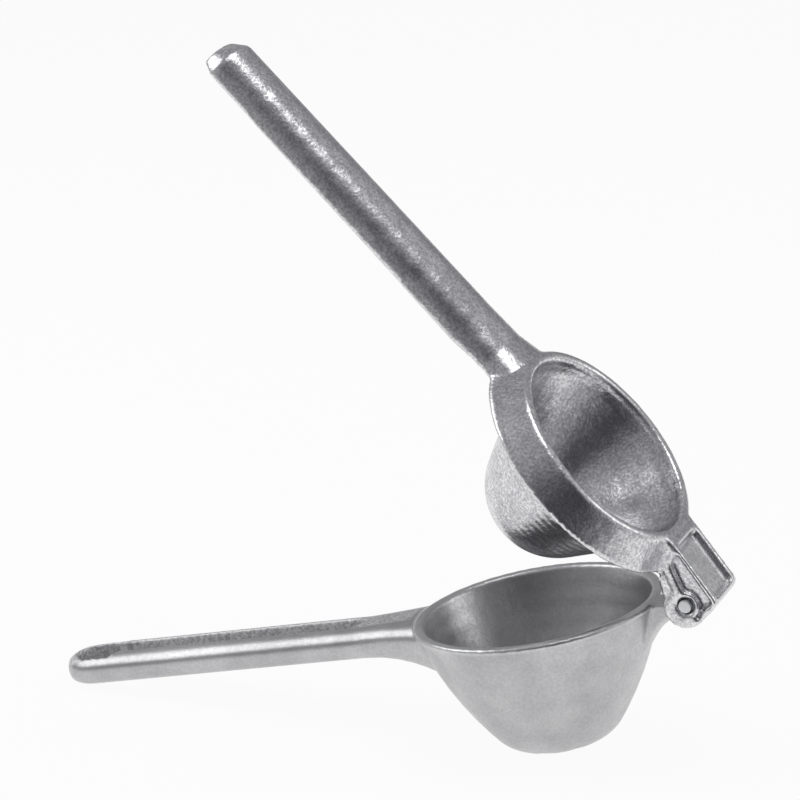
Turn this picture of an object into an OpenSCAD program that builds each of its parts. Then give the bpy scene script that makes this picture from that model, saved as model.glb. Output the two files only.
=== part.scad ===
// Hinged lemon squeezer of cast aluminium, in its true resting attitude: the round foot of the
// cup and the end of the lower handle both touch the table, and the press stands half open.
// +Z is up, +X runs from the handles to the hinge, +Y runs along the hinge pin.
// The origin lies on the table, at the middle of the footprint.

/* [Part] */
// Which part to draw

/* [Pose] */
// Angle between the two castings as modelled, 0 is closed
open_angle = 58; // [0:0.5:110]

/* [Cup] */
// Outer diameter of the rim bead
rim_d = 76; // [72:0.5:82]
// How far the rim bead stands out of the wall
bead_w = 0.8; // [0.4:0.1:1.4]
// Height of the rim bead
bead_h = 2.2; // [1.6:0.1:3]
// Height of the cup from its foot to its rim
cup_h = 43; // [40:0.5:50]
// Diameter of the flat foot
foot_d = 20; // [17:0.5:24]
// Radius of the rounded corner above the foot
foot_r = 12; // [9:0.5:14]
// Radius of the gentle outward curve of the cup's wall
wall_r = 105; // [90:5:200]
// Wall thickness of the cup
cup_wall = 2.8; // [2.2:0.1:3.4]

/* [Drain holes] */
// Diameter of each drain hole
drain_d = 3.6; // [2.6:0.1:4]
// Diameter of the circle of the inner ring of holes
drain_ring_d = 14; // [12:0.5:15]
// Diameter of the circle of the outer ring of holes
drain_outer_d = 27; // [25:0.5:30]
// Number of holes in the inner ring
drain_n = 6; // [4:1:7]
// Number of holes in the outer ring
drain_outer_n = 10; // [6:1:12]

/* [Press collar] */
// How far the collar's lower edge stands out past the rim
collar_over = 0.6; // [0.4:0.1:1.5]
// How far the lip on top of the collar stands in from its lower edge
collar_in = 5.2; // [4.6:0.1:6]
// Height of the collar
collar_h = 10.1; // [9:0.1:12]
// Width of the seat that meets the cup rim
seat_w = 2.8; // [2:0.1:3.6]
// Gap between collar and rim when closed
seat_gap = 0.3; // [0.3:0.05:0.6]

/* [Press dome] */
// Step from the collar's lower edge in to the dome
dome_step = 9.1; // [9:0.1:11]
// Slope of the upper, conical part of the dome, from the vertical
dome_taper = 26; // [24:0.5:28]
// Depth of the dome below the collar
dome_h = 33; // [31:0.5:34]
// Width of the flat lip round the mouth of the dome
lip_w = 3; // [2.2:0.1:3.4]
// Depth of the steep band inside the lip
dish_knee = 5; // [3:0.5:6]
// Wall thickness of the dome
dome_wall = 2.6; // [2.2:0.1:2.8]

/* [Lower handle] */
// Reach of the lower handle, from the cup axis to its tip
low_reach = 165.5; // [145:0.5:172]
// Slope of the lower handle below the plane of the rim
low_slope = 2.5; // [1:0.1:4]
// Width of the lower handle
low_w = 20; // [18:0.5:22]
// Height of the lower handle
low_h = 10.4; // [9.5:0.1:12]
// Depth of the lower handle's top below the rim
low_drop = 1.4; // [1.2:0.1:2.5]
// Width of the lower handle where it meets the cup
low_root_w = 31; // [28:0.5:33]
// Height of the lower handle where it meets the cup
low_root_h = 17; // [15:0.5:18.5]
// Width of the groove along the top
groove_w = 8; // [6:0.5:10]
// Depth of the groove
groove_h = 4.5; // [3:0.25:5]
// Width of the pocket at the handle's end
pocket_w = 13.6; // [12:0.2:14.5]
// Depth of the pocket at the handle's end
pocket_h = 7; // [6:0.25:7.5]
// Diameter of the hang hole
hang_d = 8; // [6:0.5:9]

/* [Upper handle] */
// Reach of the upper handle, from the cup axis to its tip
up_reach = 162; // [142:0.5:168]
// Slope of the upper handle below the plane of the collar
up_slope = 3.1; // [1:0.1:3.4]
// Width of the upper handle at the collar
up_w = 21.2; // [19:0.2:23]
// Width of the upper handle at its tip
up_tip_w = 18.8; // [17:0.2:20]
// Height of the upper handle at the collar
up_h = 10.5; // [9.6:0.1:10.8]
// Height of the upper handle at its tip
up_tip_h = 10; // [8.6:0.1:10.4]
// Wall thickness of the hollow underside
up_wall = 2.7; // [2.2:0.1:3.2]

/* [Hinge] */
// Distance from the rim's edge out to the pin
pin_out = 12; // [11.5:0.25:15]
// Height of the pin above the rim
pin_z = 0.2; // [0:0.1:0.6]
// Diameter of the pin
pin_d = 4; // [3.6:0.1:4.6]
// Width over both ears of the fork
fork_w = 21.4; // [20:0.2:22.6]
// Width of the lug between the ears
lug_w = 8.8; // [8:0.2:10]
// Side gap between the lug and each ear
lug_gap = 0.35; // [0.3:0.05:0.6]
// Outer radius of the lug around the pin
lug_r = 4.9; // [4.6:0.1:5]
// Outer radius of the ears around the pin
ear_r = 6.6; // [6.4:0.1:7]
// Height of the fork's top ribs above the pin, at the outer end
rib_top = 9; // [8.6:0.1:9.4]
// Width of the two top ribs
rib_w = 2.8; // [2:0.1:3]
// Depth of the recess between the ribs
recess_h = 2.1; // [1.6:0.1:2.4]
// Depth of the pockets in the outer faces of the ears
side_h = 1.8; // [1.2:0.1:2.2]
// Radial clearance of the pin in the lug
pin_play = 0.06; // [0.02:0.01:0.1]
// Interference of the pin in the ears, on the radius
pin_grip = 0.02; // [0.01:0.01:0.04]

/* [Hidden] */
big = 200;
eps = 0.01;
fine = 96;
arc_n = 10;
cast_color = [0.72, 0.73, 0.75];
press_color = [0.66, 0.67, 0.69];
pin_color = [0.5, 0.51, 0.53];

rim_r = rim_d / 2;
wall_top = [rim_r - bead_w, -bead_h];
foot_c = [foot_d / 2, -cup_h + foot_r];
to_wall = wall_top - foot_c;
wall_n = norm(to_wall);
wall_along = (pow(wall_r - foot_r, 2) - pow(wall_r, 2) + wall_n * wall_n) / (2 * wall_n);
wall_side = sqrt(pow(wall_r - foot_r, 2) - wall_along * wall_along);
wall_c = foot_c + (wall_along * to_wall + wall_side * [-to_wall[1], to_wall[0]]) / wall_n;
wall_dir = atan2(foot_c[1] - wall_c[1], foot_c[0] - wall_c[0]);
top_dir = atan2(wall_top[1] - wall_c[1], wall_top[0] - wall_c[0]);
edge = 0.5;
in_r = wall_r - cup_wall;
mouth_dir = asin((-edge - wall_c[1]) / in_r);
mouth_r = wall_c[0] + in_r * cos(mouth_dir);

collar_r = rim_r + collar_over;
collar_top_r = collar_r - collar_in;
lip_z = seat_gap + collar_h;
dome_r = collar_r - dome_step;
nose_r = (dome_r * cos(dome_taper) - dome_h * sin(dome_taper)) / (1 - sin(dome_taper));
nose_z = seat_gap - dome_h + nose_r;
function dome_at(z) = dome_r + (z - seat_gap) * tan(dome_taper);
dish_r = collar_top_r - lip_w;
knee_z = lip_z - dish_knee;
knee_r = dome_at(knee_z) - dome_wall / cos(dome_taper);
skirt_top = seat_gap + 0.6 * collar_h;
band_slope = (collar_r - collar_top_r) / collar_h;

// Lower handle, in its own frame: x runs out from the rim, z = 0 is its top
low_len = (low_reach - rim_r) / cos(low_slope);
end_len = low_w / 2;
low_end = [for (i = [0:5]) let (a = 90 * i / 5.4) [low_len - end_len + end_len * sin(a),
    low_w * (0.12 + 0.88 * cos(a)), low_h * (0.35 + 0.65 * pow(cos(a), 0.8)), i]];
low_flare = [0, 0.25, 0.45, 0.65, 0.82, 1];
flare_x = 20;
root_x = 8;
root_in = 6;
root_rise = 1;
groove_x = [24, low_len - 24];
pocket_x = low_len - 22.5;
hang_x = low_len - 17.5;
tip_wall = (low_w - pocket_w) / 2 + 0.4;

// Upper handle, in its own frame: x runs out from the rim, z = 0 is its crest at the collar
up_z = 9.1;
up_root_h = 9.2;
up_len = (up_reach - rim_r) / cos(up_slope);
function up_w_at(x) = up_w + (up_tip_w - up_w) * x / up_len;
function up_h_at(x) = up_h + (up_tip_h - up_h) * x / up_len;

pin_x = rim_r + pin_out;
pin_r = pin_d / 2;
slot_w = lug_w + 2 * lug_gap;
slot_r = lug_r + 0.4;
mouth_hole_r = pin_r + 0.75;
mouth_hole_up = 0.7;
mouth_hole_h = 1.6;
neck_drop = 0.3;
web_knee = [rim_r - 3.4, -7.6];
web_foot = [rim_r - 13, -30];
fork_end = pin_x + ear_r - 0.7;
boss_r = ear_r - 2.3;
step_h = 0.6;
strap_w = 2.4;
strap_from = [collar_top_r + 4.4, lip_z - 5];
strap_to = [pin_x - boss_r + 0.6, pin_z + boss_r - 1.6];
rib_end_z = pin_z + rib_top;
clear_x = collar_r + 0.4;
rim_gap_r = collar_r + 0.05;

// Side view of the fork, closed: lip, ribs, rounded barrel, lower flange
fork_side = concat(
    [[collar_top_r - 2, lip_z], [collar_top_r + 1, lip_z], [fork_end - 2.4, rib_end_z],
     [fork_end - 1.2, rib_end_z - 0.5], [fork_end - 0.5, rib_end_z - 1.5], [fork_end, rib_end_z - 3.4]],
    [for (i = [0:arc_n]) let (a = 20 - 165 * i / arc_n) [pin_x + ear_r * cos(a), pin_z + ear_r * sin(a)]],
    [[clear_x, seat_gap - 1.2], [clear_x, seat_gap], [collar_top_r - 2, seat_gap]]);

// Resting attitude: the handle's end and the foot's corner share one plane
function low_to_cup(p) = [-rim_r - p[0] * cos(low_slope) - p[1] * sin(low_slope),
    -low_drop - p[0] * sin(low_slope) + p[1] * cos(low_slope)];
low_feet = [for (s = low_end) low_to_cup([s[0], (s[2] - low_h) / 2 - s[2]])];
function rest_for(p) = let (d = [-foot_c[0], foot_c[1]] - p)
    asin(foot_r / norm(d)) - atan2(d[1], d[0]);
rest_tilt = min([for (p = low_feet) rest_for(p)]);
function to_world(p) = [p[0] * cos(rest_tilt) - p[1] * sin(rest_tilt),
    p[1] * cos(rest_tilt) + p[0] * sin(rest_tilt)];
function opened(p) = let (d = p - [pin_x, pin_z])
    [pin_x + d[0] * cos(open_angle) + d[1] * sin(open_angle),
     pin_z - d[0] * sin(open_angle) + d[1] * cos(open_angle)];
low_z = to_world([-foot_c[0], foot_c[1]])[1] - foot_r;
x_min = min([for (s = low_end) to_world(low_to_cup([s[0], -low_h / 2]))[0]]);
x_max = max([for (p = fork_side) to_world(opened(p))[0]]);

module cup_frame() {
    translate([-(x_min + x_max) / 2, 0, -low_z]) rotate([0, -rest_tilt, 0]) children();
}

module press_frame() {
    cup_frame() translate([pin_x, 0, pin_z]) rotate([0, open_angle, 0])
        translate([-pin_x, 0, -pin_z]) children();
}

module low_frame() {
    translate([-rim_r, 0, -low_drop]) rotate([0, 0, 180]) rotate([0, low_slope, 0]) children();
}

module up_frame() {
    translate([-rim_r, 0, up_z]) rotate([0, 0, 180]) rotate([0, up_slope, 0]) children();
}

// One cross-section of the lower handle, a flattened oval with a flat along its underside
module oval_slice(x, w, h, top, thick = eps, e = 0.85) {
    translate([x, 0, top - h / 2]) rotate([90, 0, 90]) linear_extrude(thick)
        polygon([for (i = [0:43]) let (a = 360 * i / 44, c = cos(a), s = sin(a))
            [sign(c) * pow(abs(c), e) * w / 2,
             max(-1, sign(s) * pow(abs(s), e) * (s < 0 ? 1.08 : 1)) * h / 2]]);
}

// One thin cross-section of the upper handle: a rounded back on two short legs
module arch_slice(x, w, h, top, leg = 1.6) {
    translate([x, 0, top - h]) rotate([90, 0, 90]) linear_extrude(eps)
        polygon(concat([for (i = [0:28]) let (a = 180 * i / 28)
            [cos(a) * w / 2, leg + pow(sin(a), 0.9) * (h - leg)]], [[-w / 2, 0], [w / 2, 0]]));
}

function arc_points(c, r, from, to, n) = [for (i = [0:n]) let (a = from + (to - from) * i / n)
    c + r * [cos(a), sin(a)]];

module bowl_outside() {
    rotate_extrude($fn = fine) polygon(concat(
        [[0, -cup_h]],
        arc_points(foot_c, foot_r, -90, wall_dir, arc_n),
        arc_points(wall_c, wall_r, wall_dir + 2, top_dir, 6),
        [ [rim_r - 0.15, -bead_h + 0.35], [rim_r, -bead_h + 0.8], [rim_r, -0.7],
         [rim_r - 0.25, -0.2], [rim_r - 0.7, 0], [0, 0]]));
}

module bowl_inside() {
    rotate_extrude($fn = fine) polygon(concat(
        [[0, -cup_h + cup_wall]],
        arc_points(foot_c, foot_r - cup_wall, -90, wall_dir, arc_n),
        arc_points(wall_c, in_r, wall_dir + 2, mouth_dir, 6),
        [[mouth_r + edge, eps], [mouth_r + edge, 8], [0, 8]]));
}

module drain_ring(n, d, turn) {
    for (i = [0:n - 1]) rotate([0, 0, turn + 360 * i / n]) translate([d / 2, 0, -cup_h - 1])
        cylinder(d = drain_d, h = foot_r + 1, $fn = 32);
}

// Half outline of groove and pocket seen from above
function tip_arc(r, cx, n = 8) = [for (i = [0:n]) let (a = 90 * i / n)
    [cx + r * sin(a), r * cos(a)]];
module mirrored_plan(half, z, h) {
    translate([0, 0, z]) linear_extrude(h)
        polygon(concat(half, [for (i = [len(half) - 1:-1:0]) if (half[i][1] > eps)
            [half[i][0], -half[i][1]]]));
}

// Cross-section of the lower handle's flare, t = 0 at the handle and 1 at the cup
module low_slice(t, back = 0) {
    oval_slice(flare_x * (1 - t) - root_x * t - back, low_w + (low_root_w - low_w) * pow(t, 1.6),
        low_h + (low_root_h - low_h) * pow(t, 2), root_rise * t, back + eps,
        0.85 - 0.25 * t);
}

module low_handle() {
    low_frame() difference() {
        union() {
            hull() {
                low_slice(low_flare[0]);
                for (s = low_end) oval_slice(s[0], s[1], s[2], (s[2] - low_h) / 2);
            }
            for (i = [1:len(low_flare) - 1]) hull() {
                low_slice(low_flare[i - 1]);
                low_slice(low_flare[i]);
            }
            low_slice(low_flare[len(low_flare) - 1], root_in);
        }
        mirrored_plan([[groove_x[0] - groove_w / 2, 0], [groove_x[0] - 0.35 * groove_w, 0.3 * groove_w],
            [groove_x[0], groove_w / 2], [groove_x[1] + 2, groove_w / 2]], -groove_h, groove_h + 5);
        mirrored_plan(concat([[pocket_x, 0], [pocket_x, groove_w / 2 - 1], [pocket_x + 1, groove_w / 2],
            [pocket_x + 5.5, pocket_w / 2]], tip_arc(pocket_w / 2, low_len - tip_wall - pocket_w / 2)),
            -pocket_h, pocket_h + 5);
        translate([hang_x, 0, -low_h - 1]) cylinder(d = hang_d, h = low_h + 2, $fn = 48);
    }
}

// Neck and barrel that carry the pin; the web below the neck narrows as it runs into the cup
module lug() {
    from = [pin_x - 4, pin_z - lug_r + 0.4];
    side = concat([[foot_c[0], -neck_drop], [pin_x, -neck_drop], [pin_x, from[1]]],
        [for (i = [0:arc_n]) let (t = i / arc_n)
            pow(1 - t, 2) * from + 2 * t * (1 - t) * web_knee + t * t * web_foot],
        [[foot_c[0], web_foot[1]]]);
    front = [for (i = [0:arc_n]) let (t = i / arc_n)
        [lug_w / 2 * (1 - 0.5 * pow(t, 2)), t * (web_foot[1] - 1)]];
    intersection() {
        translate([0, lug_w, 0]) rotate([90, 0, 0]) linear_extrude(2 * lug_w) polygon(side);
        rotate([90, 0, 90]) linear_extrude(pin_x + 1)
            polygon(concat([[lug_w / 2, pin_z + 5]], front,
                [for (i = [arc_n:-1:0]) [-front[i][0], front[i][1]]], [[-lug_w / 2, pin_z + 5]]));
    }
    translate([pin_x, lug_w / 2, pin_z]) rotate([90, 0, 0])
        cylinder(r = lug_r, h = lug_w, $fn = fine);
}

module cup_casting() {
    color(cast_color) cup_frame() difference() {
        union() {
            bowl_outside();
            low_handle();
            lug();
        }
        bowl_inside();
        cylinder_drains();
        translate([pin_x, lug_w, pin_z]) rotate([90, 0, 0])
            cylinder(r = pin_r + pin_play, h = 2 * lug_w, $fn = fine);
    }
}

module cylinder_drains() {
    drain_ring(1, 0, 0);
    drain_ring(drain_n, drain_ring_d, 0);
    drain_ring(drain_outer_n, drain_outer_d, 180 / drain_outer_n);
}

// Collar, hollow skirt and dome in one turned section
module press_bowl() {
    rotate_extrude($fn = fine) polygon(concat(
        [[dish_r + 0.4, lip_z], [collar_top_r - 0.6, lip_z], [collar_top_r, lip_z - 0.6],
         [collar_r, seat_gap + 1], [collar_r, seat_gap + 0.4], [collar_r - 0.4, seat_gap],
         [collar_r - seat_w, seat_gap],
         [collar_r - seat_w - (skirt_top - seat_gap) * band_slope, skirt_top],
         [dome_at(skirt_top), skirt_top]],
        [for (i = [0:arc_n + 4]) let (a = -dome_taper - (90 - dome_taper) * i / (arc_n + 4))
            [nose_r * cos(a), nose_z + nose_r * sin(a)]],
        [for (i = [arc_n + 4:-1:0]) let (a = -dome_taper - (90 - dome_taper) * i / (arc_n + 4))
            [(nose_r - dome_wall) * cos(a), nose_z + (nose_r - dome_wall) * sin(a)]],
        [[knee_r, knee_z], [dish_r - 0.1, lip_z - 0.4]]));
}

module dish_inside() {
    rotate_extrude($fn = fine) polygon([[0, nose_z], [(nose_r - dome_wall) * cos(dome_taper),
        nose_z - (nose_r - dome_wall) * sin(dome_taper)], [knee_r, knee_z], [dish_r, lip_z],
        [dish_r, lip_z + 3], [0, lip_z + 3]]);
}

module up_handle() {
    difference() {
        up_frame() {
            hull() {
                arch_slice(14, up_w_at(14), up_h_at(14), 0);
                arch_slice(up_len - 4.8, up_w_at(up_len - 4.8), up_tip_h, 0);
                arch_slice(up_len - 4, up_tip_w * 0.98, up_tip_h - 0.3, -0.3);
                arch_slice(up_len - 0.6, up_tip_w * 0.74, up_tip_h - 3.4, -3.1);
                arch_slice(up_len, up_tip_w * 0.66, up_tip_h - 4.4, -4);
            }
            hull() {
                arch_slice(15, up_w_at(15), up_h_at(15), 0);
                arch_slice(3, up_w + 0.8, up_root_h, 0);
            }
            hull() {
                arch_slice(3 + eps, up_w + 0.8, up_root_h, 0);
                arch_slice(-4.6, up_w + 5, up_root_h + 1, lip_z - up_z - 0.15);
            }
        }
        up_frame() hull() {
            arch_slice(6, up_w_at(6) - 2 * up_wall, up_h_at(6) + 4, -up_wall, 5);
            arch_slice(up_len - 9, up_tip_w - 2 * up_wall, up_tip_h + 4, -up_wall, 5);
            arch_slice(up_len - 5, up_tip_w * 0.86 - 2 * up_wall, up_tip_h + 2, -up_wall - 1.4, 5);
        }
    }
}

module fork() {
    half = fork_w / 2;
    rib_run = atan2(rib_end_z - lip_z, fork_end - collar_top_r - 2.6);
    difference() {
        translate([0, half, 0]) rotate([90, 0, 0]) linear_extrude(fork_w) polygon(fork_side);
        // recess between the two top ribs
        translate([0, half - rib_w, 0]) rotate([90, 0, 0]) linear_extrude(fork_w - 2 * rib_w)
            polygon([[collar_top_r + 2.2, lip_z - recess_h], [fork_end - 2.1, rib_end_z - recess_h],
                [fork_end - 1.7, rib_end_z + 4], [collar_top_r + 1.4, rib_end_z + 4]]);
        // pockets in the outer faces, from the collar round the far side of the boss,
        // and a shallow step below the strap that runs to the boss
        for (s = [-1, 1]) scale([1, s, 1]) difference() {
            translate([0, half + 1, 0]) rotate([90, 0, 0]) {
                linear_extrude(side_h + 1) polygon(concat([strap_from, [collar_top_r + 2.8, lip_z - 1],
                    [fork_end - 1.8, rib_end_z - 1.4]],
                    [for (i = [0:6]) let (a = 42 - 78 * i / 6, r = ear_r - 1 - 1.3 * pow(i / 6, 3))
                        [pin_x + r * cos(a), pin_z + r * sin(a)]],
                    [[pin_x, pin_z - boss_r / 2], strap_to]));
                linear_extrude(step_h + 1) polygon([[collar_top_r, lip_z - 12],
                    strap_from - strap_w * [0.2, 1], strap_to - strap_w * [0.7, 0.8],
                    [pin_x - 2, pin_z - ear_r - 2], [collar_top_r, pin_z - ear_r - 2]]);
            }
            translate([pin_x, half + 2, pin_z]) rotate([90, 0, 0])
                cylinder(r = boss_r, h = side_h + 3, $fn = fine);
        }
        // slot for the lug: round the pin, and open below it
        translate([pin_x, slot_w / 2, pin_z]) rotate([90, 0, 0])
            cylinder(r = slot_r, h = slot_w, $fn = fine);
        translate([0, slot_w / 2, 0]) rotate([90, 0, 0]) linear_extrude(slot_w) polygon([
            [collar_top_r, seat_gap - 3 * eps], [pin_x - slot_r + 1, seat_gap - 3 * eps],
            [pin_x, pin_z - 3 * eps], [fork_end + 4, pin_z - 3 * eps], [fork_end + 4, -20],
            [collar_top_r, -20]]);
        // bore, and the wider mouths cast a little above it
        translate([pin_x, big / 2, pin_z]) rotate([90, 0, 0])
            cylinder(r = pin_r - pin_grip, h = big, $fn = fine);
        for (s = [-1, 1]) translate([pin_x, s * half + mouth_hole_h, pin_z + mouth_hole_up])
            rotate([90, 0, 0]) cylinder(r = mouth_hole_r, h = 2 * mouth_hole_h, $fn = fine);
    }
}

module press_casting() {
    color(press_color) press_frame() {
        press_bowl();
        difference() {
            union() {
                up_handle();
                fork();
            }
            dish_inside();
            translate([0, 0, seat_gap - 20]) cylinder(r = rim_gap_r, h = 20, $fn = fine);
        }
    }
}

module hinge_pin() {
    color(pin_color) press_frame() translate([pin_x, 0, pin_z]) rotate([90, 0, 0])
        cylinder(r = pin_r, h = fork_w - 0.8, center = true, $fn = fine);
}

cup_casting();
press_casting();
hinge_pin();
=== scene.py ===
"""Looks of a hinged lemon squeezer: two aluminium castings, a wire pin, and a pale studio."""

from __future__ import annotations

import logging
import math
from dataclasses import dataclass, field
from enum import Enum
from typing import Any

import bmesh
import bpy
import numpy as np
from mathutils import Euler, Matrix, Vector

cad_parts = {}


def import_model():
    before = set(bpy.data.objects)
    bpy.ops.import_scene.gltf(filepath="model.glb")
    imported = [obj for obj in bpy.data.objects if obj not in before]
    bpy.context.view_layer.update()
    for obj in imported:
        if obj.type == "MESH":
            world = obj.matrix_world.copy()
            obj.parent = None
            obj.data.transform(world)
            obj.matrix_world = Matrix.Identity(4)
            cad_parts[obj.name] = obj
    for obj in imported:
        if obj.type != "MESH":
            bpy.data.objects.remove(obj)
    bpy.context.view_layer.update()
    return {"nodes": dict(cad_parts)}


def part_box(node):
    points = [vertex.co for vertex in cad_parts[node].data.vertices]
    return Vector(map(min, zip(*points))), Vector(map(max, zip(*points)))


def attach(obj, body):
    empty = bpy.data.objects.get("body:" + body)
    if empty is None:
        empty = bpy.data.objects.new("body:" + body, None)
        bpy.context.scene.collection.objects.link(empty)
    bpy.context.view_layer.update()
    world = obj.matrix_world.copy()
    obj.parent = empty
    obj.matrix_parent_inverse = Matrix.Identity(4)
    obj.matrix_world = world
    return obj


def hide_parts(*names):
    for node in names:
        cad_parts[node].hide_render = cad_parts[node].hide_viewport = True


LOG = logging.getLogger("squeezer")
MM = 0.001

Array = np.ndarray
Point = tuple[float, float, float]
Socket = tuple[bpy.types.Node, Any]
Links = dict[Any, Socket]


class Body(Enum):
    """The two bodies that the hinge joins."""

    CUP = "cup"
    PRESS = "press"


class Slot(Enum):
    """Material slots of the record."""

    CAST = "cast_aluminium"
    DULL = "dull_aluminium"
    STEEL = "pin_steel"


class Mark(Enum):
    """Values that a casting's mesh holds at each point, for its finish."""

    EDGE = "edge"
    ALONG = "along"
    TURNED = "turned"
    INNER = "inner"
    SHUT = "shut"


# ---------------------------------------------------------------- colours and nodes


def linear(code: str) -> tuple[float, float, float, float]:
    """Turns an sRGB hex colour into the linear values that a shader takes.

    The numbers are those of the sRGB standard: a straight part near black, then a power curve.

    Args:
        code: colour such as "#B4B7BB".

    Returns:
        Red, green, blue and an alpha of 1.
    """
    parts = np.array([int(code[i : i + 2], 16) for i in (1, 3, 5)]) / 255
    values = np.where(parts <= 0.04045, parts / 12.92, ((parts + 0.055) / 1.055) ** 2.4)
    return (*map(float, values), 1.0)


def put(
    tree: bpy.types.NodeTree,
    kind: str,
    sets: dict[Any, Any] | None = None,
    links: Links | None = None,
) -> bpy.types.Node:
    """Adds one node with its settings and its links.

    Args:
        tree: node tree that takes it.
        kind: Blender's name of the node type.
        sets: values by socket name, socket number or property name.
        links: for a socket, the node and output that feed it.

    Returns:
        The new node.
    """
    made = tree.nodes.new(kind)
    for name, value in (sets or {}).items():
        if isinstance(name, int) or name in made.inputs:
            made.inputs[name].default_value = value
        else:
            setattr(made, name, value)
    for name, (source, out) in (links or {}).items():
        tree.links.new(source.outputs[out], made.inputs[name])
    return made


def ramp(node: bpy.types.Node, stops: tuple[tuple[float, str], ...]) -> bpy.types.Node:
    """Gives a colour ramp its stops.

    Args:
        node: the ramp.
        stops: places from 0 to 1 with their hex colours.

    Returns:
        The same node.
    """
    bar = node.color_ramp.elements
    while len(bar) < len(stops):
        bar.new(0.5)  # each stop gets its own place below
    for element, (place, code) in zip(bar, stops):
        element.position = place
        element.color = linear(code)
    return node


def per_mm(size_mm: float) -> float:
    """Noise scale whose features are about that many millimetres apart."""
    return 1.0 / (size_mm * MM)


# ---------------------------------------------------------------- finishes


# How the grain, the barrel's wear with the painted highlight on ridges, the painted shade in
# hollows, the painted recess tone and the pits come in. A pair gives the stretch of noise or of
# a mark over which an effect goes from none to its most.
FINE_SHARE = 0.82  # of the speckle; the rest is blotches
BLOTCH_GRAINS = 7  # size of a blotch, in grains
SPECK_BAND = (0.40, 0.60)
DULL_BAND = (0.38, 0.62)
WEAR_AND_HIGHLIGHT_BAND = (0.1, 0.6)
WEAR_AND_HIGHLIGHT_MOST = 0.8
DEEP_BAND = (9.0, 18.0)  # millimetres below the brim
SHUT_SHARE = 0.8
RECESS_PAINT_BASE = 0.35
CREASE_SHADE_BAND = (-0.1, -0.6)
CREASE_SHADE_MOST = 0.7
PIT_BAND = (0.43, 0.53)
PIT_MOST = 0.30
ROUGH_BAND = (0.35, 0.65)


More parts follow.
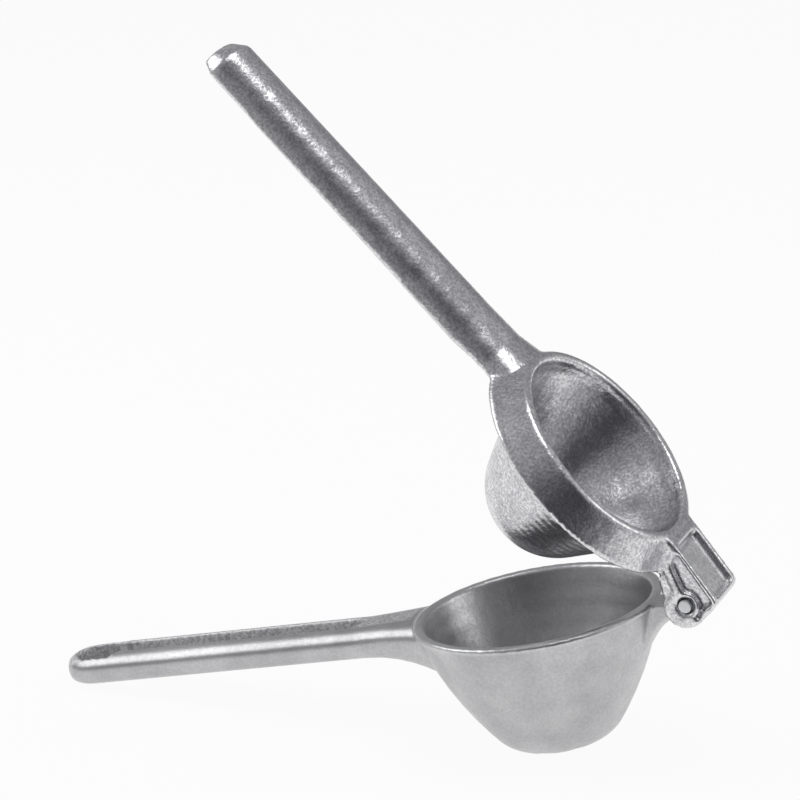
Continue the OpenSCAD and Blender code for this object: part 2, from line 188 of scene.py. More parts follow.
@dataclass(frozen=True)
class CastFinish:
    """Aluminium as it leaves a sand mould and a tumbling barrel.

    The mould leaves a grain, and the barrel rubs the ridges bright, with a painted highlight added
    on them;
    hollows are darkened with painted shade and recesses get a painted tone of their own,
    so the eye sees a speckled, soft mirror with paler edges.

    Attributes:
        name: material name.
        bright: colour of the rubbed ridges of the grain.
        dark: colour of its hollows.
        grain_mm: size of a grain.
        grain_depth: how deep the grain looks, in millimetres.
        speckle: how strongly the dark of the grain shows, from 0 to 1.
        roughness: of the ridges and of the hollows.
        wave_mm: size of the slow waves of the skin.
        wave_depth: how deep they look, in millimetres.
        grain_left: share of the grain's depth that the barrel leaves where it reaches.
        dull: how grey the patches are that it rubs least.
        ring_mm: spacing of the lathe's rings on the bowl.
        ring_depth: how deep they look, in millimetres.
        lean: millimetres that the bowl's inner wall seems to lean for each one of depth.
        edge: colour of worn edges, which also carries a painted highlight along the ridges.
        dull_pit_and_crease_shade: colour of the dull patches and the grain's pits, and painted
            shade in creases and hollows.
        recess_paint: a tone painted over recesses and deep in the bowl, standing in for their
            light and shade.
        recess_paint_share: how much of that painted tone shows deep inside the bowl.
        recess_rough: roughness in a recess.
    """

    name: str
    bright: str
    dark: str
    grain_mm: float
    grain_depth: float
    speckle: float
    roughness: tuple[float, float]
    wave_mm: float
    wave_depth: float
    grain_left: float = 1.0
    dull: float = 0.15
    ring_mm: float = 2.4
    ring_depth: float = 0.0
    lean: float = 0.0
    edge: str = "#EFEFEF"
    dull_pit_and_crease_shade: str = "#707074"
    recess_paint: str = "#86858A"
    recess_paint_share: float = 0.0
    recess_rough: float = 0.4

    def build(self) -> bpy.types.Material:
        """Makes the material; its grain is worked out in millimetres on Object coordinates.

        Returns:
            The material.
        """
        made = bpy.data.materials.new(self.name)
        made.use_nodes = True
        tree = made.node_tree
        tree.nodes.clear()
        spot = (put(tree, "ShaderNodeTexCoord"), "Object")
        grain = (put(tree, "ShaderNodeTexNoise", {"Scale": per_mm(self.grain_mm), "Detail": 4.0,
                                                  "Roughness": 0.66}, {"Vector": spot}), "Fac")
        blotch = (put(tree, "ShaderNodeTexNoise", {"Scale": per_mm(self.grain_mm * BLOTCH_GRAINS),
                                                   "Detail": 3.0, "Roughness": 0.55},
                      {"Vector": spot}), "Fac")
        wave = (put(tree, "ShaderNodeTexNoise", {"Scale": per_mm(self.wave_mm), "Detail": 2.0},
                    {"Vector": spot}), "Fac")
        marks = {mark: (put(tree, "ShaderNodeAttribute", {"attribute_name": mark.value}), "Fac")
                 for mark in Mark}
        fine = put(tree, "ShaderNodeMath", {"operation": "MULTIPLY", 1: FINE_SHARE}, {0: grain})
        # how far a point is in the dark of the grain
        both = (put(tree, "ShaderNodeMath", {"operation": "MULTIPLY_ADD", 1: 1 - FINE_SHARE},
                    {0: blotch, 2: (fine, 0)}), 0)
        colour = self.colour(tree, both, wave, marks)
        rough = self.gloss(tree, both, marks)
        bump = self.relief(tree, grain, wave, marks)
        shader = put(tree, "ShaderNodeBsdfPrincipled", {"Metallic": 1.0},
                     {"Base Color": colour, "Roughness": rough, "Normal": bump})
        put(tree, "ShaderNodeOutputMaterial", links={"Surface": (shader, 0)})
        return made

    def colour(self, tree: bpy.types.NodeTree, both: Socket, wave: Socket,
               marks: dict[Mark, Socket]) -> Socket:
        """Speckle, dull patches, worn edges with a painted highlight, a painted tone in recesses
        and deep in the bowl, and painted shade in hollows with the grain's pits in recesses, in
        that order.

        Args:
            tree: the material's nodes.
            both: how far a point is in the dark of the grain.
            wave: the slow waves.
            marks: the mesh's values.

        Returns:
            The colour.
        """
        speck = put(tree, "ShaderNodeMapRange", {"From Min": SPECK_BAND[0],
                                                 "From Max": SPECK_BAND[1], "To Min": 0.0,
                                                 "To Max": self.speckle}, {"Value": both})
        skin = put(tree, "ShaderNodeMix", {"data_type": "RGBA", 6: linear(self.bright),
                                           7: linear(self.dark)}, {0: (speck, 0)})
        # the barrel rubs unevenly, so patches as far apart as the waves stay duller
        dull = put(tree, "ShaderNodeMapRange", {"From Min": DULL_BAND[0],
                                                "From Max": DULL_BAND[1], "To Min": 0.0,
                                                "To Max": self.dull}, {"Value": wave})
        skin = put(tree, "ShaderNodeMix", {"data_type": "RGBA", 7: linear(self.dull_pit_and_crease_shade)},
                   {0: (dull, 0), 6: (skin, 2)})
        # ridges lighten towards the edge colour: partly wear from the barrel, partly a painted
        # highlight
        wear_and_highlight = put(tree, "ShaderNodeMapRange", {"From Min": WEAR_AND_HIGHLIGHT_BAND[0],
                                                "From Max": WEAR_AND_HIGHLIGHT_BAND[1], "To Min": 0.0,
                                                "To Max": WEAR_AND_HIGHLIGHT_MOST}, {"Value": marks[Mark.EDGE]})
        skin = put(tree, "ShaderNodeMix", {"data_type": "RGBA", 7: linear(self.edge)},
                   {0: (wear_and_highlight, 0), 6: (skin, 2)})
        # painted light and shade: recesses and the deep bowl get a tone of their own, patchy as
        # the grain is
        deep = put(tree, "ShaderNodeMapRange", {"From Min": DEEP_BAND[0],
                                                "From Max": DEEP_BAND[1], "To Min": 0.0,
                                                "To Max": self.recess_paint_share},
                   {"Value": marks[Mark.INNER]})
        recess_paint_mask = put(tree, "ShaderNodeMath", {"operation": "MULTIPLY_ADD", 1: SHUT_SHARE,
                                             "use_clamp": True},
                    {0: marks[Mark.SHUT], 2: (deep, 0)})
        patchy = put(tree, "ShaderNodeMath", {"operation": "ADD", 1: RECESS_PAINT_BASE}, {0: (speck, 0)})
        recess_paint_mask = put(tree, "ShaderNodeMath", {"operation": "MULTIPLY", "use_clamp": True},
                    {0: (recess_paint_mask, 0), 1: (patchy, 0)})
        skin = put(tree, "ShaderNodeMix", {"data_type": "RGBA", 7: linear(self.recess_paint)},
                   {0: (recess_paint_mask, 0), 6: (skin, 2)})
        # painted shade: where the surface turns inward, in creases and hollows, it is darkened
        low = put(tree, "ShaderNodeMapRange", {"From Min": CREASE_SHADE_BAND[0], "From Max": CREASE_SHADE_BAND[1],
                                               "To Min": 0.0, "To Max": CREASE_SHADE_MOST},
                  {"Value": marks[Mark.EDGE]})
        # the mould's pits stay grey where the barrel's stones don't reach
        pits = put(tree, "ShaderNodeMapRange", {"From Min": PIT_BAND[0], "From Max": PIT_BAND[1],
                                                "To Min": PIT_MOST, "To Max": 0.0},
                   {"Value": both})
        pits = put(tree, "ShaderNodeMath", {"operation": "MULTIPLY"},
                   {0: (pits, 0), 1: marks[Mark.SHUT]})
        low = put(tree, "ShaderNodeMath", {"operation": "MAXIMUM"}, {0: (low, 0), 1: (pits, 0)})
        skin = put(tree, "ShaderNodeMix", {"data_type": "RGBA", 7: linear(self.dull_pit_and_crease_shade)},
                   {0: (low, 0), 6: (skin, 2)})
        return skin, 2

    def gloss(self, tree: bpy.types.NodeTree, both: Socket, marks: dict[Mark, Socket]) -> Socket:
        """Smoother on the rubbed ridges, rougher in the grain's hollows and in a recess.

        Args:
            tree: the material's nodes.
            both: how far a point is in the dark of the grain.
            marks: the mesh's values.

        Returns:
            The roughness.
        """
        rough = put(tree, "ShaderNodeMapRange", {"From Min": ROUGH_BAND[0],
                                                 "From Max": ROUGH_BAND[1],
                                                 "To Min": self.roughness[0],
                                                 "To Max": self.roughness[1]}, {"Value": both})
        rough = put(tree, "ShaderNodeMix", {3: self.recess_rough},
                    {0: marks[Mark.SHUT], 2: (rough, 0)})
        return rough, 0

    def relief(self, tree: bpy.types.NodeTree, grain: Socket, wave: Socket,
               marks: dict[Mark, Socket]) -> Socket:
        """Waves of the skin, the lean of the inner wall, the lathe's rings and the grain.

        Args:
            tree: the material's nodes.
            grain: the fine grain.
            wave: the slow waves.
            marks: the mesh's values.

        Returns:
            The normal.
        """
        waves = put(tree, "ShaderNodeBump", {"Strength": 1.0, "Distance": self.wave_depth * MM},
                    {"Height": wave})
        # the lathe's rings on the bowl: a sine of the way along its axis
        angle = put(tree, "ShaderNodeMath", {"operation": "MULTIPLY",
                                             1: 2 * math.pi / self.ring_mm},
                    {0: marks[Mark.ALONG]})
        ring = put(tree, "ShaderNodeMath", {"operation": "SINE"}, {0: (angle, 0)})
        faint = put(tree, "ShaderNodeMath", {"operation": "MULTIPLY"}, {0: (ring, 0), 1: wave})
        cut = put(tree, "ShaderNodeMath", {"operation": "MULTIPLY"},
                  {0: (faint, 0), 1: marks[Mark.TURNED]})
        # grinding leaves the bowl's inner wall leaning out a little, most of it near the brim
        ground = put(tree, "ShaderNodeBump", {"Strength": 1.0, "Distance": self.lean * MM},
                     {"Height": marks[Mark.INNER], "Normal": (waves, 0)})
        rings = put(tree, "ShaderNodeBump", {"Strength": 1.0, "Distance": self.ring_depth * MM},
                    {"Height": (cut, 0), "Normal": (ground, 0)})
        # a recess keeps the whole grain
        left = put(tree, "ShaderNodeMath", {"operation": "ADD", 1: self.grain_left,
                                            "use_clamp": True}, {0: marks[Mark.SHUT]})
        bump = put(tree, "ShaderNodeBump", {"Distance": self.grain_depth * MM},
                   {"Height": grain, "Normal": (rings, 0), "Strength": (left, 0)})
        return bump, 0


@dataclass(frozen=True)
class WireFinish:
    """Drawn steel wire, cropped to length: grey, a little brighter where the shears tore it.

    Attributes:
        name: material name.
        face: colour of the wire.
        torn: colour of the tear marks.
        roughness: of the wire and of the tear marks.
        tear_mm: distance between tear marks.
        tear_depth: how deep they look, in millimetres.
    """

    name: str = "drawn_steel_wire"
    face: str = "#C6C7C9"
    torn: str = "#EDEEEF"
    roughness: tuple[float, float] = (0.30, 0.50)
    tear_mm: float = 0.5
    tear_depth: float = 0.06

    def build(self) -> bpy.types.Material:
        """Makes the material; its tear marks are a noise on Object coordinates.

        Returns:
            The material.
        """
        made = bpy.data.materials.new(self.name)
        made.use_nodes = True
        tree = made.node_tree
        tree.nodes.clear()
        place = put(tree, "ShaderNodeTexCoord")
        tear = put(tree, "ShaderNodeTexNoise", {"Scale": per_mm(self.tear_mm), "Detail": 3.0},
                   {"Vector": (place, "Object")})
        colour = put(tree, "ShaderNodeMix", {"data_type": "RGBA", 6: linear(self.face),
                                             7: linear(self.torn)}, {0: (tear, "Fac")})
        rough = put(tree, "ShaderNodeMapRange", {"To Min": self.roughness[0],
                                                 "To Max": self.roughness[1]},
                    {"Value": (tear, "Fac")})
        bump = put(tree, "ShaderNodeBump", {"Strength": 1.0, "Distance": self.tear_depth * MM},
                   {"Height": (tear, "Fac")})
        shader = put(tree, "ShaderNodeBsdfPrincipled", {"Metallic": 1.0},
                     {"Base Color": (colour, 2), "Roughness": (rough, 0), "Normal": (bump, 0)})
        put(tree, "ShaderNodeOutputMaterial", links={"Surface": (shader, 0)})
        return made


# ---------------------------------------------------------------- meshes


OWN_SHARE = 0.4
MEAN_SHARE = 0.6


def mesh_of(name: str, points: Array, faces: Array) -> bpy.types.Object:
    """Puts computed points and faces into a new smooth-shaded object at the world's origin.

    Args:
        name: object name.
        points: coordinates in metres, one row each.
        faces: corner numbers, one row each.

    Returns:
        The object, linked to the scene.
    """
    mesh = bpy.data.meshes.new(name)
    mesh.from_pydata(points.tolist(), [], faces.tolist())
    mesh.polygons.foreach_set("use_smooth", np.ones(len(mesh.polygons), bool))
    mesh.update()
    made = bpy.data.objects.new(name, mesh)
    bpy.context.scene.collection.objects.link(made)
    return made


def coordinates(mesh: bpy.types.Mesh) -> Array:
    """Reads the vertex coordinates of a mesh.

    Args:
        mesh: the mesh.

    Returns:
        Coordinates in metres, one row each.
    """
    flat = np.empty(len(mesh.vertices) * 3, np.float32)
    mesh.vertices.foreach_get("co", flat)
    return flat.reshape(-1, 3).astype(float)


def normals_of(mesh: bpy.types.Mesh) -> Array:
    """Reads the vertex normals of a mesh.

    Args:
        mesh: the mesh.

    Returns:
        Unit vectors, one row each.
    """
    flat = np.empty(len(mesh.vertices) * 3, np.float32)
    mesh.vertex_normals.foreach_get("vector", flat)
    return flat.reshape(-1, 3).astype(float)


def neighbours(ends: Array, number: int) -> tuple[Array, Array, Array]:
    """Lists each edge both ways and counts each vertex's neighbours.

    Args:
        ends: the two vertex numbers of each edge.
        number: how many vertices there are.

    Returns:
        The vertex that each way starts in, the one it ends in, and the neighbours of each
        vertex, counted as at least 1.
    """
    a, b = ends.T
    here = np.concatenate([a, b])
    there = np.concatenate([b, a])
    return here, there, np.bincount(here, minlength=number).clip(1)


def pull(points: Array, ends: Array) -> Array:
    """How far each point lies from the mean of its neighbours.

    The mean is the sum over the edges that end in the point, divided by their number.

    Args:
        points: coordinates, one row each.
        ends: the two vertex numbers of each edge.

    Returns:
        Mean of the neighbours less the point, one row each.
    """
    here, there, count = neighbours(ends, len(points))
    total = np.stack([np.bincount(here, points[there, k], len(points)) for k in range(3)], 1)
    return total / count[:, None] - points


def spread(values: Array, ends: Array, rounds: int) -> Array:
    """Evens a value out over the mesh, as smoothing does for points.

    Each round takes the kept share of a vertex's own value and the rest from the mean of its
    neighbours.

    Args:
        values: one value for each vertex.
        ends: the two vertex numbers of each edge.
        rounds: how often.

    Returns:
        The new values.
    """
    here, there, count = neighbours(ends, len(values))
    for _ in range(rounds):
        around = np.bincount(here, values[there], len(values))
        values = OWN_SHARE * values + MEAN_SHARE * around / count
    return values


@dataclass(frozen=True)
class Recess:
    """A recess, which gets the painted recess tone, its own roughness and the whole grain: a box
    square to its own upward direction.

    Attributes:
        origin: the point that the box is measured from, in metres.
        up: its upward direction, of any length.
        low: its lowest corner, ahead, aside and up from the origin, in metres.
        high: its highest corner.
    """

    origin: Point
    up: Point
    low: Point
    high: Point

    def holds(self, points: Array) -> Array:
        """Weighs points by how deep they lie in the box: 0 at a wall, 1 from a millimetre in.

        The depth is the least distance to a wall, ahead, aside or up from the origin.

        Args:
            points: coordinates in metres, one row each.

        Returns:
            A weight from 0 to 1 for each row.
        """
        up = np.array(self.up) / np.linalg.norm(self.up)
        ahead = np.cross((0.0, 1.0, 0.0), up)
        arm = points - np.array(self.origin)
        local = np.stack([arm @ ahead, arm[:, 1], arm @ up], 1)
        depth = np.minimum(local - np.array(self.low), np.array(self.high) - local).min(1)
        return (depth / MM).clip(0, 1)


@dataclass
class Casting:
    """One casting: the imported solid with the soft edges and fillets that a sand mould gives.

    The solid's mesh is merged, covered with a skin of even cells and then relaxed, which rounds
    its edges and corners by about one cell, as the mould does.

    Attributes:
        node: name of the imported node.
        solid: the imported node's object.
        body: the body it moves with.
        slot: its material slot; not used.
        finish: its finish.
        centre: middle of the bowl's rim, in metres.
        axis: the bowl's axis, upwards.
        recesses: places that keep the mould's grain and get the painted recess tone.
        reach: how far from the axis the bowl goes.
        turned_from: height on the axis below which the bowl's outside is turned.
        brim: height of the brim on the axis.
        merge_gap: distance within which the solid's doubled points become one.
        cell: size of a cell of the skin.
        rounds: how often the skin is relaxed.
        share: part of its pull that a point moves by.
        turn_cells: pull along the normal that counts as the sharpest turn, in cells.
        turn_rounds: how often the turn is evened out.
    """

    node: str
    solid: bpy.types.Object
    body: Body
    slot: Slot
    finish: CastFinish
    centre: Point
    axis: Point
    recesses: tuple[Recess, ...]
    reach: float = 33 * MM
    turned_from: float = -2 * MM
    brim: float = 8 * MM
    merge_gap: float = 0.002 * MM
    cell: float = 0.64 * MM
    rounds: int = 14
    share: float = 0.55
    turn_cells: float = 0.25
    turn_rounds: int = 4

    def merged(self) -> bpy.types.Object:
        """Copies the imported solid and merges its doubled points.

        Returns:
            The copy, linked to the scene.
        """
        work = bmesh.new()
        work.from_mesh(self.solid.data)
        bmesh.ops.remove_doubles(work, verts=work.verts, dist=self.merge_gap)
        mesh = bpy.data.meshes.new(self.node + "_skin")
        work.to_mesh(mesh)
        work.free()
        made = bpy.data.objects.new(self.node + "_cast", mesh)
        bpy.context.scene.collection.objects.link(made)
        return made

    def skinned(self, piece: bpy.types.Object) -> None:
        """Covers the copy with even cells and keeps the result as its mesh.

        Args:
            piece: the merged copy.
        """
        skin = piece.modifiers.new("skin", "REMESH")
        skin.mode = "VOXEL"
        skin.voxel_size = self.cell
        skin.adaptivity = 0.0
        view = bpy.context.evaluated_depsgraph_get()
        even = bpy.data.meshes.new_from_object(piece.evaluated_get(view))
        piece.modifiers.clear()
        piece.data = even
        even.name = self.node + "_cast"

    def relaxed(self, piece: bpy.types.Object) -> None:
        """Rounds the edges: each round moves a point by a share of its pull, then back by as much.

        The pull is taken anew for the way back, so the cells' steps go while the form keeps its
        size.

        Args:
            piece: the skinned copy.
        """
        mesh = piece.data
        ends = np.empty(len(mesh.edges) * 2, np.int32)
        mesh.edges.foreach_get("vertices", ends)
        ends = ends.reshape(-1, 2)
        points = coordinates(mesh)
        for _ in range(self.rounds):
            points += self.share * pull(points, ends)
            points -= self.share * pull(points, ends)
        mesh.vertices.foreach_set("co", points.astype(np.float32).ravel())
        mesh.polygons.foreach_set("use_smooth", np.ones(len(mesh.polygons), bool))
        mesh.update()
        self.mark_edges(mesh, ends)
        self.mark_bowl(mesh)
        self.mark_recesses(mesh)

    def mark(self, mesh: bpy.types.Mesh, name: Mark, values: Array) -> None:
        """Stores one value for each vertex."""
        made = mesh.attributes.new(name.value, "FLOAT", "POINT")
        made.data.foreach_set("value", values.astype(np.float32))

    def mark_edges(self, mesh: bpy.types.Mesh, ends: Array) -> None:
        """Marks how sharply the surface turns: above 0 on ridges, below 0 in hollows.

        The turn at a point is minus its pull along the normal, over a share of a cell, evened
        out and kept between -1 and 1.

        Args:
            mesh: the relaxed mesh.
            ends: the two vertex numbers of each edge.
        """
        inward = (pull(coordinates(mesh), ends) * normals_of(mesh)).sum(1)
        turn = -inward / (self.turn_cells * self.cell)
        self.mark(mesh, Mark.EDGE, spread(turn, ends, self.turn_rounds).clip(-1, 1))

    def mark_bowl(self, mesh: bpy.types.Mesh) -> None:
        """Marks where a point is on the bowl, for the lathe's rings and the inside.

        ALONG is the distance in millimetres up the bowl's axis from its rim plane. TURNED is 1 on
        the outside of the bowl below that plane, where the normal points away from the rim's
        centre. INNER is the depth in millimetres below the brim, inside the bowl, where the
        normal points back.

        Args:
            mesh: the relaxed mesh.
        """
        way = np.array(self.axis) / np.linalg.norm(self.axis)
        arm = coordinates(mesh) - np.array(self.centre)
        along = arm @ way
        off = np.linalg.norm(arm - along[:, None] * way, axis=1)
        facing = (arm * normals_of(mesh)).sum(1) / np.linalg.norm(arm, axis=1).clip(MM)
        near = off < self.reach
        outside = near & (facing > 0) & (along < self.turned_from)
        inner = (self.brim - along).clip(0, None) / MM * near * (facing < 0)
        self.mark(mesh, Mark.ALONG, along / MM)
        self.mark(mesh, Mark.TURNED, outside.astype(float))
        self.mark(mesh, Mark.INNER, inner)

    def mark_recesses(self, mesh: bpy.types.Mesh) -> None:
        """Marks with SHUT how deep a point lies in a recess: the largest weight of any."""
        points = coordinates(mesh)
        self.mark(mesh, Mark.SHUT, np.max([recess.holds(points) for recess in self.recesses], 0))

    def build(self) -> bpy.types.Object:
        """Makes, dresses and attaches the casting.

        Returns:
            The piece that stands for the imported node.
        """
        piece = self.merged()
        self.skinned(piece)
        self.relaxed(piece)
        piece.data.materials.clear()
        piece.data.materials.append(self.finish.build())
        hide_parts(self.node)
        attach(piece, self.body.value)
        return piece


@dataclass
class HingePin:
    """Plain wire pin, pressed into the ears; its ends show in the wider mouths of the bore.

    Attributes:
        radius: of the wire.
        length: from end to end.
        chamfer: radius of the rounding at an end.
        node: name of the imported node.
        around: points round the pin.
        steps: points along a rounding.
        middle: radius of the ring that divides an end face, as a share of the wire's.
        merge_gap: distance within which the points at the middle of an end become one.
        finish: its finish.
    """

    radius: float = 2.0 * MM
    length: float = 20.6 * MM
    chamfer: float = 0.35 * MM
    node: str = "hinge_pin"
    around: int = 48
    steps: int = 7
    middle: float = 0.5
    merge_gap: float = 0.001 * MM
    finish: WireFinish = field(default_factory=WireFinish)

    def profile(self) -> Array:
        """Radius and place along the pin: a straight side between two quarter-round ends.

        At angle t from 0 to 90 degrees an end runs at radius R - c + c sin t, half-length
        L/2 - c + c cos t.

        Returns:
            Radius and place, one row each, from one end to the other.
        """
        turn = np.linspace(0, np.pi / 2, self.steps)
        r = self.radius - self.chamfer * (1 - np.sin(turn))
        y = self.length / 2 - self.chamfer * (1 - np.cos(turn))
        inner = np.array([0.0, self.middle * self.radius])
        r = np.concatenate([inner, r])
        y = np.concatenate([np.full(2, self.length / 2), y])
        return np.stack([np.concatenate([r, r[::-1]]), np.concatenate([y, -y[::-1]])], 1)

    def build(self) -> bpy.types.Object:
        """Turns the profile about the hinge line and dresses it.

        A point of the grid at angle t lies at r cos t, y, r sin t from the pin's middle.

        Returns:
            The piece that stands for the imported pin.
        """
        low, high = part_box(self.node)
        centre = (np.array(low) + np.array(high)) / 2
        line = self.profile()
        angle = np.linspace(0, 2 * np.pi, self.around, endpoint=False)
        r, y = line[:, :1], line[:, 1:]
        grid = np.stack([r * np.cos(angle), y + 0 * angle, r * np.sin(angle)], 2) + centre
        rows, cols = grid.shape[:2]
        number = np.arange(rows * cols).reshape(rows, cols)
        ahead = np.roll(number, -1, 1)
        faces = np.stack([number[:-1], number[1:], ahead[1:], ahead[:-1]], 2).reshape(-1, 4)
        piece = mesh_of("hinge_pin_wire", grid.reshape(-1, 3), faces)
        work = bmesh.new()
        work.from_mesh(piece.data)
        bmesh.ops.remove_doubles(work, verts=work.verts, dist=self.merge_gap)
        bmesh.ops.recalc_face_normals(work, faces=work.faces)
        work.to_mesh(piece.data)
        work.free()
        piece.data.materials.append(self.finish.build())
        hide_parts(self.node)
        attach(piece, Body.PRESS.value)
        return piece


# ---------------------------------------------------------------- studio


@dataclass(frozen=True)
class Lamp:
    """A soft oval lamp that faces the tool.

    Attributes:
        name: lamp name.
        place: where it stands, in metres.
        size: width and height in metres.
        watts: its power.
    """

    name: str
    place: Point
    size: tuple[float, float]
    watts: float

    def build(self, aim: Point) -> None:
        """Adds the lamp.

        Args:
            aim: the point it faces.
        """
        data = bpy.data.lights.new(self.name, "AREA")
        data.shape = "ELLIPSE"
        data.size, data.size_y = self.size
        data.energy = self.watts
        made = bpy.data.objects.new(self.name, data)
        turn = (Vector(aim) - Vector(self.place)).to_track_quat("-Z", "Y")
        made.matrix_world = Matrix.Translation(self.place) @ turn.to_matrix().to_4x4()
        bpy.context.scene.collection.objects.link(made)


@dataclass
class Studio:
    """A sheet of paper, soft lamps, the dim room that metal mirrors, and the camera.

    Attributes:
        camera_place: where the camera stands, in metres.
        camera_turn: its turn about X, Y and Z, in degrees.
        lens_mm: its focal length.
        sensor_mm: width of its sensor.
        clip: the nearest distance that it shows, in metres.
        sheet_front: y of the paper's front edge.
        sheet_back: y of its back edge.
        sheet_half: how far it goes to the left, and at most to the right.
        edge_at: x of its right edge at y = 0.
        edge_lean: how much further right that edge is for each metre of y.
        sheet_grid: its points across and back.
        mottle_mm: size of the paper's mottle.
        seen: share of plain white that the camera sees in the paper.
        mirrored: share that metal sees in it.
        walls: the room's colours by bearing, from 0 to 1.
        ceiling: colour of the ceiling.
        ceiling_band: heights of direction between which it blends in.
        aim: the point that the lamps face.
        lamps: the lamps.
    """

    camera_place: Point = (0.33167, -0.74741, 0.35893)
    camera_turn: Point = (72.6347, 1.9599, 22.7514)
    lens_mm: float = 128.70
    sensor_mm: float = 36.0
    clip: float = 0.01
    sheet_front: float = -0.34
    sheet_back: float = 3.2
    sheet_half: float = 1.4
    edge_at: float = 0.26
    edge_lean: float = 0.5
    sheet_grid: tuple[int, int] = (15, 24)
    mottle_mm: float = 40
    seen: float = 0.93
    mirrored: float = 0.8
    walls: tuple[tuple[float, str], ...] = (
        (0.0, "#7A7A7D"), (0.12, "#B0B0B1"), (0.30, "#B0B0B1"), (0.45, "#A2A2A4"),
        (0.54, "#8C8C8F"), (0.62, "#CACACB"), (0.72, "#D0D0D1"), (0.80, "#A8A8AA"),
        (0.865, "#424246"), (0.90, "#3E3E42"), (0.96, "#6A6A6D"), (1.0, "#7A7A7D"))
    ceiling: str = "#A4A4A6"
    ceiling_band: tuple[float, float] = (0.42, 0.80)
    aim: Point = (0.02, 0.0, 0.08)
    lamps: tuple[Lamp, ...] = (
        Lamp("left_lamp", (-0.76, -0.14, 0.70), (0.9, 0.68), 2.6),
        Lamp("top_lamp", (0.40, -0.08, 1.60), (0.9, 0.9), 5.2),
        Lamp("right_lamp", (0.745, 0.27, 0.34), (0.42, 0.30), 0.34))

    def camera(self) -> None:
        """Places the camera at the photograph's angle."""
        data = bpy.data.cameras.new("camera")
        data.lens = self.lens_mm
        data.sensor_width = self.sensor_mm
        data.clip_start = self.clip
        made = bpy.data.objects.new("camera", data)
        made.location = self.camera_place
        made.rotation_euler = Euler([math.radians(a) for a in self.camera_turn], "XYZ")
        bpy.context.scene.collection.objects.link(made)
        bpy.context.scene.camera = made

    def sheet(self) -> bpy.types.Object:
        """Sheet of paper that the tool lies on, cut askew on the right.

        A flat grid on z = 0: each row runs from the left edge to a right edge that moves outwards
        in proportion to y, so metal that faces the front right mirrors the room past it.

        Returns:
            The sheet.
        """
        share = np.linspace(0, 1, self.sheet_grid[0])
        y = np.linspace(self.sheet_front, self.sheet_back, self.sheet_grid[1])
        right = np.minimum(self.sheet_half, self.edge_at + self.edge_lean * y)
        x = -self.sheet_half + share[None] * (right[:, None] + self.sheet_half)
        grid = np.stack([x, y[:, None] + 0 * x, 0 * x], 2)
        number = np.arange(grid.shape[0] * grid.shape[1]).reshape(grid.shape[:2])
        faces = np.stack([number[:-1, :-1], number[:-1, 1:], number[1:, 1:], number[1:, :-1]],
                         2).reshape(-1, 4)
        piece = mesh_of("paper_sheet", grid.reshape(-1, 3), faces)
        piece.data.materials.append(self.paper())
        return piece

    def paper(self) -> bpy.types.Material:
        """Matt white paper: a faint mottle, lifted to white where the camera sees it.

        Metal sees it lifted by a smaller share.

        Returns:
            The material.
        """
        made = bpy.data.materials.new("matt_white_paper")
        made.use_nodes = True
        tree = made.node_tree
        tree.nodes.clear()
        place = put(tree, "ShaderNodeTexCoord")
        mottle = put(tree, "ShaderNodeTexNoise", {"Scale": per_mm(self.mottle_mm), "Detail": 2.0},
                     {"Vector": (place, "Object")})
        colour = put(tree, "ShaderNodeMix", {"data_type": "RGBA", 6: linear("#F4F4F4"),
                                             7: linear("#F7F7F7")}, {0: (mottle, "Fac")})
        matt = put(tree, "ShaderNodeBsdfDiffuse", links={"Color": (colour, 2)})
        glow = put(tree, "ShaderNodeEmission", {"Color": linear("#FFFFFF"), "Strength": 1.0})
        path = put(tree, "ShaderNodeLightPath")
        metal = put(tree, "ShaderNodeMath", {"operation": "MAXIMUM"},
                    {0: (path, "Is Glossy Ray"), 1: (path, "Is Transmission Ray")})
        part = put(tree, "ShaderNodeMath", {"operation": "MULTIPLY", 1: self.mirrored},
                   {0: (metal, 0)})
        share = put(tree, "ShaderNodeMath", {"operation": "MULTIPLY_ADD", 1: self.seen},
                    {0: (path, "Is Camera Ray"), 2: (part, 0)})
        mix = put(tree, "ShaderNodeMixShader", links={0: (share, 0), 1: (matt, 0), 2: (glow, 0)})
        put(tree, "ShaderNodeOutputMaterial", links={"Surface": (mix, 0)})
        return made

    def world(self) -> None:
        """Room round the table: walls by the bearing that a direction has, then a grey ceiling.

        A bearing runs from the front over left, back and right to the front again. It is the arc
        tangent of X over Y, and the ceiling blends in by Z. The camera alone sees plain white
        here, and metal mirrors the grey room.
        """
        world = bpy.data.worlds.new("room")
        bpy.context.scene.world = world
        world.use_nodes = True
        tree = world.node_tree
        tree.nodes.clear()
        place = put(tree, "ShaderNodeTexCoord")
        parts = put(tree, "ShaderNodeSeparateXYZ", links={0: (place, "Generated")})
        bearing = put(tree, "ShaderNodeMath", {"operation": "ARCTAN2"}, {0: (parts, "X"),
                                                                         1: (parts, "Y")})
        turn = put(tree, "ShaderNodeMapRange", {"From Min": -math.pi, "From Max": math.pi},
                   {"Value": (bearing, 0)})
        tone = ramp(put(tree, "ShaderNodeValToRGB", links={0: (turn, 0)}), self.walls)
        height = put(tree, "ShaderNodeMapRange", {"From Min": self.ceiling_band[0],
                                                  "From Max": self.ceiling_band[1]},
                     {"Value": (parts, "Z")})
        tone = put(tree, "ShaderNodeMix", {"data_type": "RGBA", 7: linear(self.ceiling)},
                   {0: (height, 0), 6: (tone, 0)})
        room = put(tree, "ShaderNodeBackground", {"Strength": 1.0}, {"Color": (tone, 2)})
        white = put(tree, "ShaderNodeBackground", {"Color": linear("#FFFFFF"), "Strength": 1.0})
        path = put(tree, "ShaderNodeLightPath")
        mix = put(tree, "ShaderNodeMixShader", links={0: (path, "Is Camera Ray"), 1: (room, 0),
                                                      2: (white, 0)})
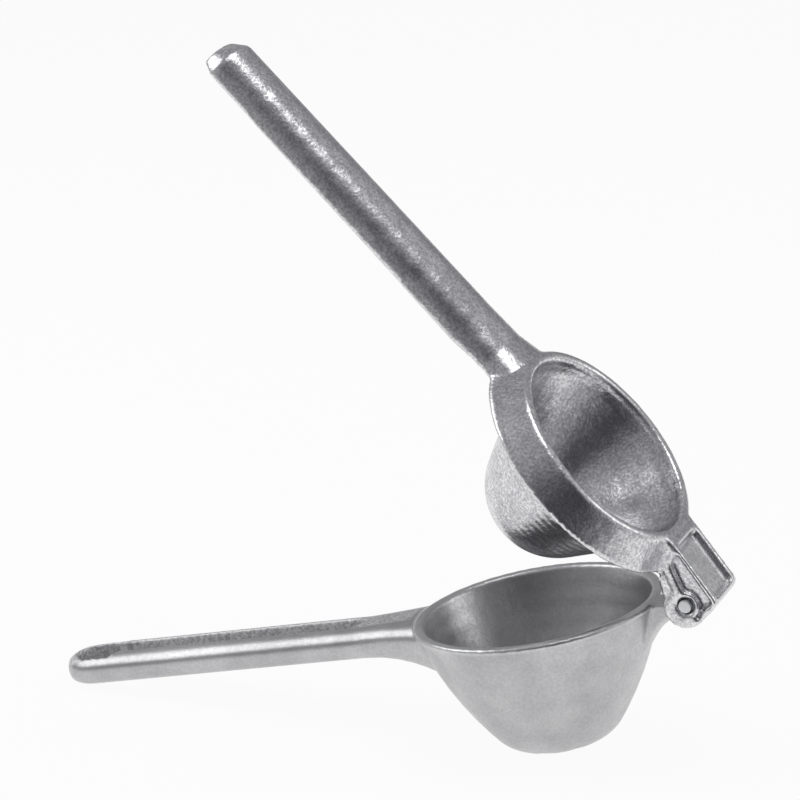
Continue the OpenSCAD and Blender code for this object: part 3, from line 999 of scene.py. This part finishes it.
        put(tree, "ShaderNodeOutputWorld", links={"Surface": (mix, 0)})

    def build(self) -> None:
        """Sets the view transform and makes camera, paper, room and lamps."""
        bpy.context.scene.view_settings.view_transform = "Standard"
        self.camera()
        self.sheet()
        self.world()
        for lamp in self.lamps:
            lamp.build(self.aim)


# ---------------------------------------------------------------- assembly

# The recess tones below are painted light: lighter than the skin, in the cup's groove and pocket
# and in the press's fork recess and deep bowl.
CUP_FINISH = CastFinish(
    name="tumbled_cast_aluminium", bright="#CBCBCC", dark="#BBBBBD",
    grain_mm=0.9, grain_depth=0.30, grain_left=0.15, dull=0.22, speckle=0.8,
    roughness=(0.28, 0.38), wave_mm=16.0, wave_depth=0.30,
    recess_paint="#F2F2F3", recess_rough=0.45)
PRESS_FINISH = CastFinish(
    name="sand_cast_aluminium", bright="#F4F4F5", dark="#BDBCC1",
    grain_mm=0.8, grain_depth=0.16, grain_left=0.55, speckle=1.0,
    roughness=(0.12, 0.26), wave_mm=6.0, wave_depth=0.30, ring_depth=0.045, lean=0.15,
    recess_paint="#EDEDEE", recess_paint_share=0.1, recess_rough=0.34)

# Middle of each bowl's rim and the bowl's axis, and the lower handle's root and upward
# direction, as the part's source places them.
CUP_CENTRE: Point = (0.05097, 0.0, 0.04426)
CUP_AXIS: Point = (-0.1732, 0.0, 0.9849)
PRESS_CENTRE: Point = (0.0666, 0.0, 0.09015)
PRESS_AXIS: Point = (0.7434, 0.0, 0.6688)
HANDLE_ROOT: Point = (-0.0106, 0.0, 0.0313)
HANDLE_UP: Point = (-0.216, 0.0, 0.9764)

# Boxes that get the painted recess tone, the recess roughness and the whole grain.
GROOVE = Recess(HANDLE_ROOT, HANDLE_UP, (-0.0910, -0.0052, -0.0065), (0.0230, 0.0052, 0.0120))
POCKET = Recess(HANDLE_ROOT, HANDLE_UP, (-0.1040, -0.0080, -0.0110), (-0.0830, 0.0080, 0.0002))
FORK_RECESS = Recess(PRESS_CENTRE, PRESS_AXIS, (0.0370, -0.0083, -0.0050),
                     (0.0580, 0.0083, 0.0130))


def main() -> None:
    """Builds the squeezer and its studio in order and reports each piece."""
    logging.basicConfig(level=logging.INFO, format="%(name)s: %(message)s")
    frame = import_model()
    nodes = frame["nodes"]
    Studio().build()
    parts: list[Casting | HingePin] = [
        Casting("cup_casting", nodes["cup_casting"], Body.CUP, Slot.CAST, CUP_FINISH,
                CUP_CENTRE, CUP_AXIS, recesses=(GROOVE, POCKET), reach=40 * MM),
        Casting("press_casting", nodes["press_casting"], Body.PRESS, Slot.DULL, PRESS_FINISH,
                PRESS_CENTRE, PRESS_AXIS, recesses=(FORK_RECESS,)),
        HingePin(),
    ]
    for part in parts:
        piece = part.build()
        LOG.info("%s: %d faces", piece.name, len(piece.data.polygons))


if __name__ == "__main__":
    main()
